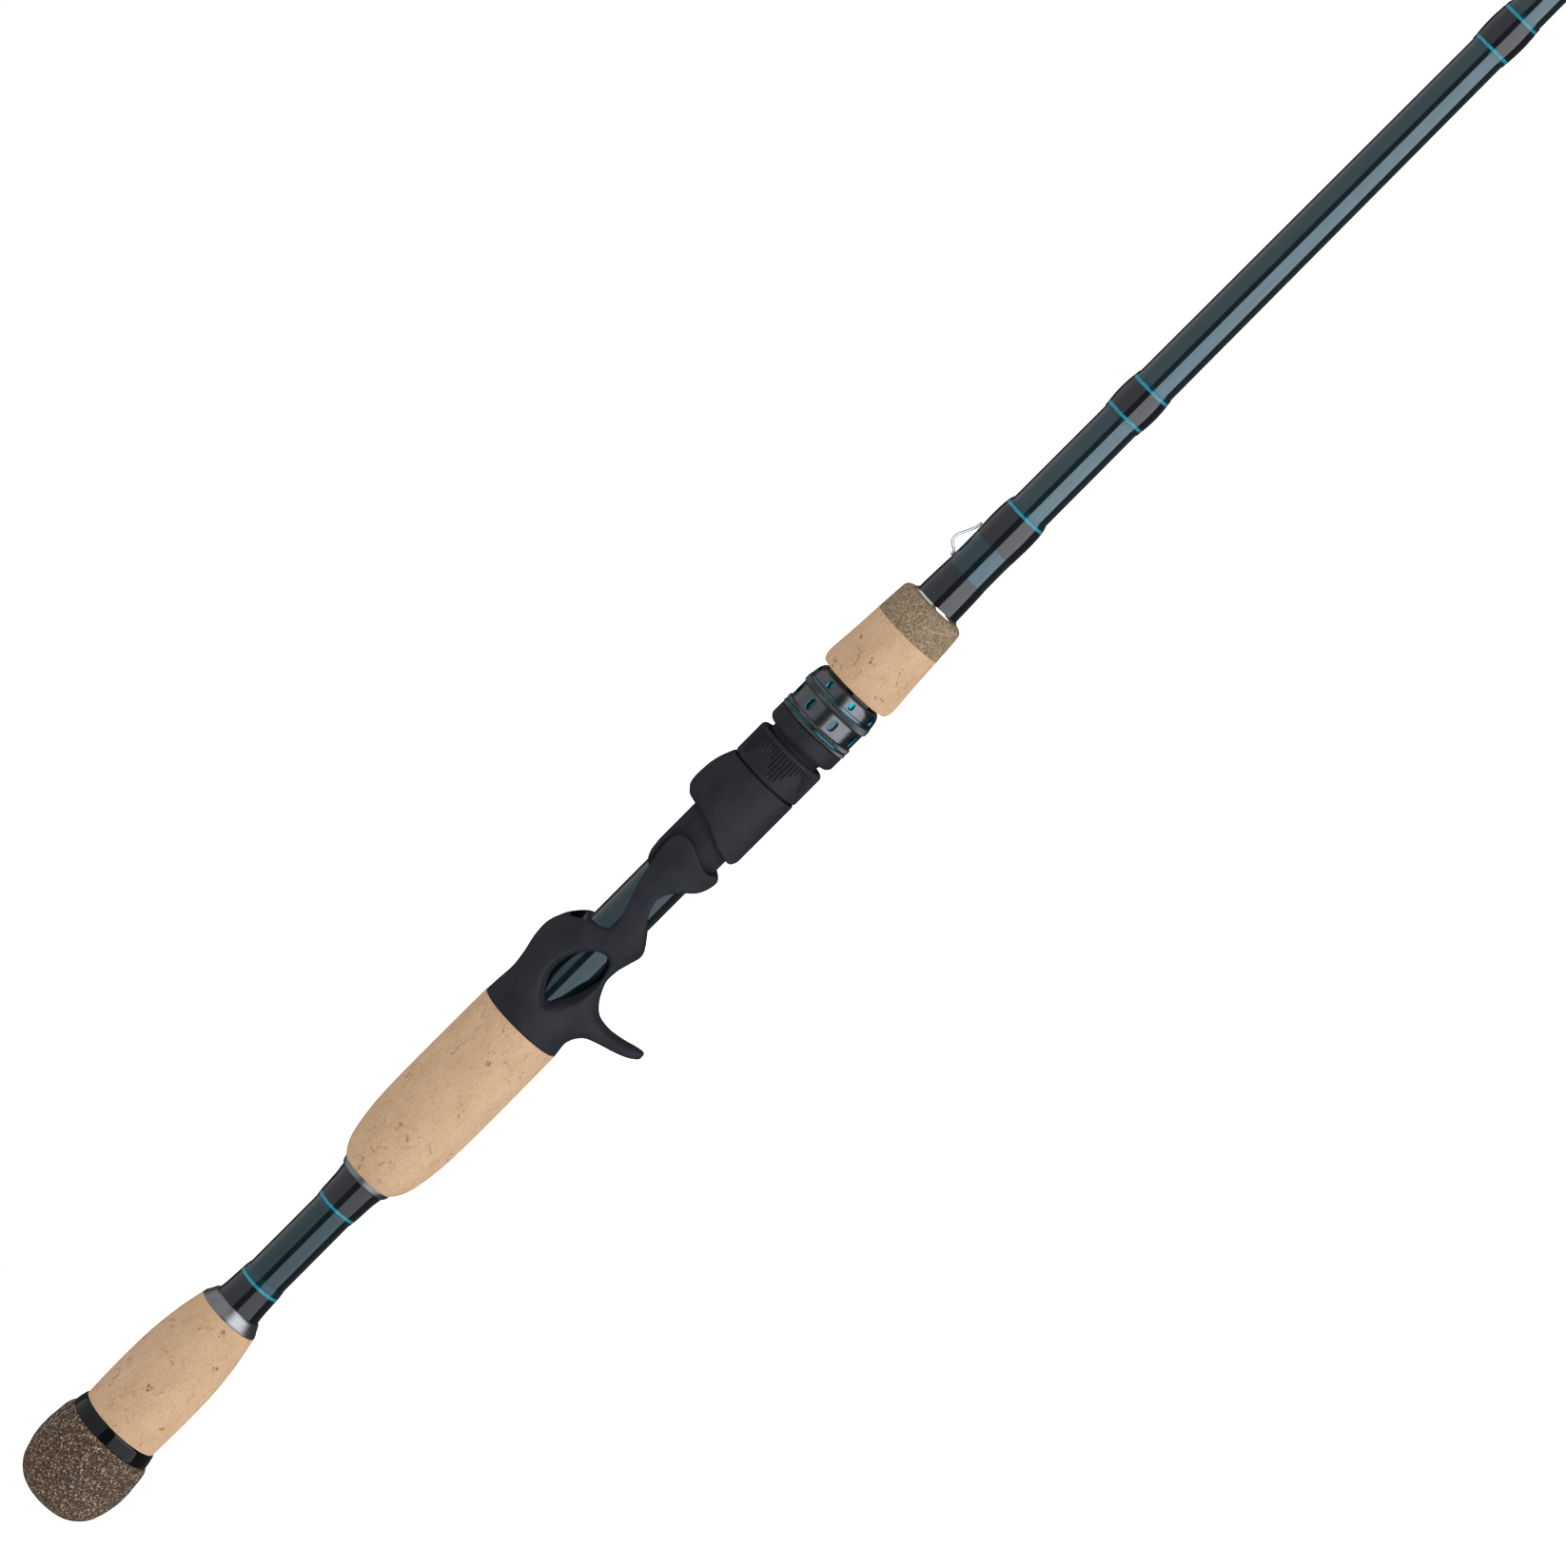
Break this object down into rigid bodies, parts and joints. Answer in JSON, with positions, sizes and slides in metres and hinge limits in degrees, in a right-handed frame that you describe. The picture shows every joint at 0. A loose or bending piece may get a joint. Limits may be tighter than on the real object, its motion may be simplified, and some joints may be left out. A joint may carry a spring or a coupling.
{
  "type": "casting fishing rod",
  "caption": "Trigger-handle casting rod with split cork grips, a skeleton reel seat with a screw-down hood, a hook keeper and ceramic-ring line guides.",
  "frame": {"origin": "centre of the butt cap's flat end face, on the rod's axis", "axes": "+X along the rod from butt to tip, +Z towards the reel and guide side, so the trigger points along -Z"},
  "size_m": [1.8299, 0.0298, 0.0503],
  "materials": {
    "carbon_blank": "clear-coated carbon, gloss",
    "rubber_cork": "speckled rubberised cork, matt",
    "gloss_trim": "gloss black",
    "cork": "natural cork, sanded",
    "check_metal": "satin grey metal",
    "thread_wrap": "black thread under clear finish, gloss",
    "cyan_trim": "metallic cyan thread under clear finish",
    "seat_plastic": "soft-touch black",
    "liner": "matt dark grey",
    "anodised": "gunmetal anodised, knurled",
    "sleeve_blue": "dark blue-grey anodised",
    "accent": "turquoise anodised",
    "fore_burl": "fine speckled rubberised cork",
    "silver": "polished",
    "clear_coat": "clear finish over the dark blank",
    "guide_frame": "dark smoked steel",
    "guide_ring": "polished dark ceramic"
  },
  "bodies": {
    "rod": {"blank": "carbon_blank", "butt_cap": "rubber_cork", "butt_ring": "gloss_trim", "rear_grip": "cork", "rear_check": "check_metal", "rear_wrap": "thread_wrap", "rear_trim": "cyan_trim", "mid_wrap": "thread_wrap", "mid_trim": "cyan_trim", "main_check": "check_metal", "main_grip": "cork", "seat_core": "carbon_blank", "seat_body": "seat_plastic", "pocket_liner": "liner", "seat_barrel": "seat_plastic", "lock_base": "seat_plastic", "lock_drum": "anodised", "lock_sleeve": "sleeve_blue", "lock_nose": "anodised", "accent_rings": "accent", "lock_spacer": "gloss_trim", "fore_grip": "cork", "fore_tip": "fore_burl", "fore_check": "silver", "keeper_wrap_rear": "thread_wrap", "keeper_coat": "clear_coat", "keeper_wrap_front": "thread_wrap", "keeper_trim": "cyan_trim", "hook_keeper": "silver", "band_a_wrap": "thread_wrap", "band_a_trim": "cyan_trim", "band_b_wrap": "thread_wrap", "band_b_trim": "cyan_trim", "tip_frame": "guide_frame", "tip_ring": "guide_ring", "tip_wrap": "thread_wrap", "guide_1_frame": "guide_frame", "guide_1_ring": "guide_ring", "guide_1_wrap": "thread_wrap", "guide_2_frame": "guide_frame", "guide_2_ring": "guide_ring", "guide_2_wrap": "thread_wrap", "guide_3_frame": "guide_frame", "guide_3_ring": "guide_ring", "guide_3_wrap": "thread_wrap", "guide_4_frame": "guide_frame", "guide_4_ring": "guide_ring", "guide_4_wrap": "thread_wrap", "guide_5_frame": "guide_frame", "guide_5_ring": "guide_ring", "guide_5_wrap": "thread_wrap", "guide_6_frame": "guide_frame", "guide_6_ring": "guide_ring", "guide_6_wrap": "thread_wrap", "guide_7_frame": "guide_frame", "guide_7_ring": "guide_ring", "guide_7_wrap": "thread_wrap"},
    "hood": {"hood_shell": "seat_plastic", "hood_liner": "liner"},
    "nut": {"locking_nut": "seat_plastic"}
  },
  "joints": [
    {"name": "hood_slide", "type": "slide", "parent": "rod", "child": "hood", "axis": [-1, 0, 0], "range_m": [-0.0015, 0.004]},
    {"name": "nut_turn", "type": "hinge", "parent": "hood", "child": "nut", "pos_m": [0.28, 0, 0], "axis": [-1, 0, 0], "range_deg": [-270, 720]}
  ],
  "couplings": [
    {"joint": "nut_turn", "follows": "hood_slide", "rad_per_m": 3141.6}
  ]
}
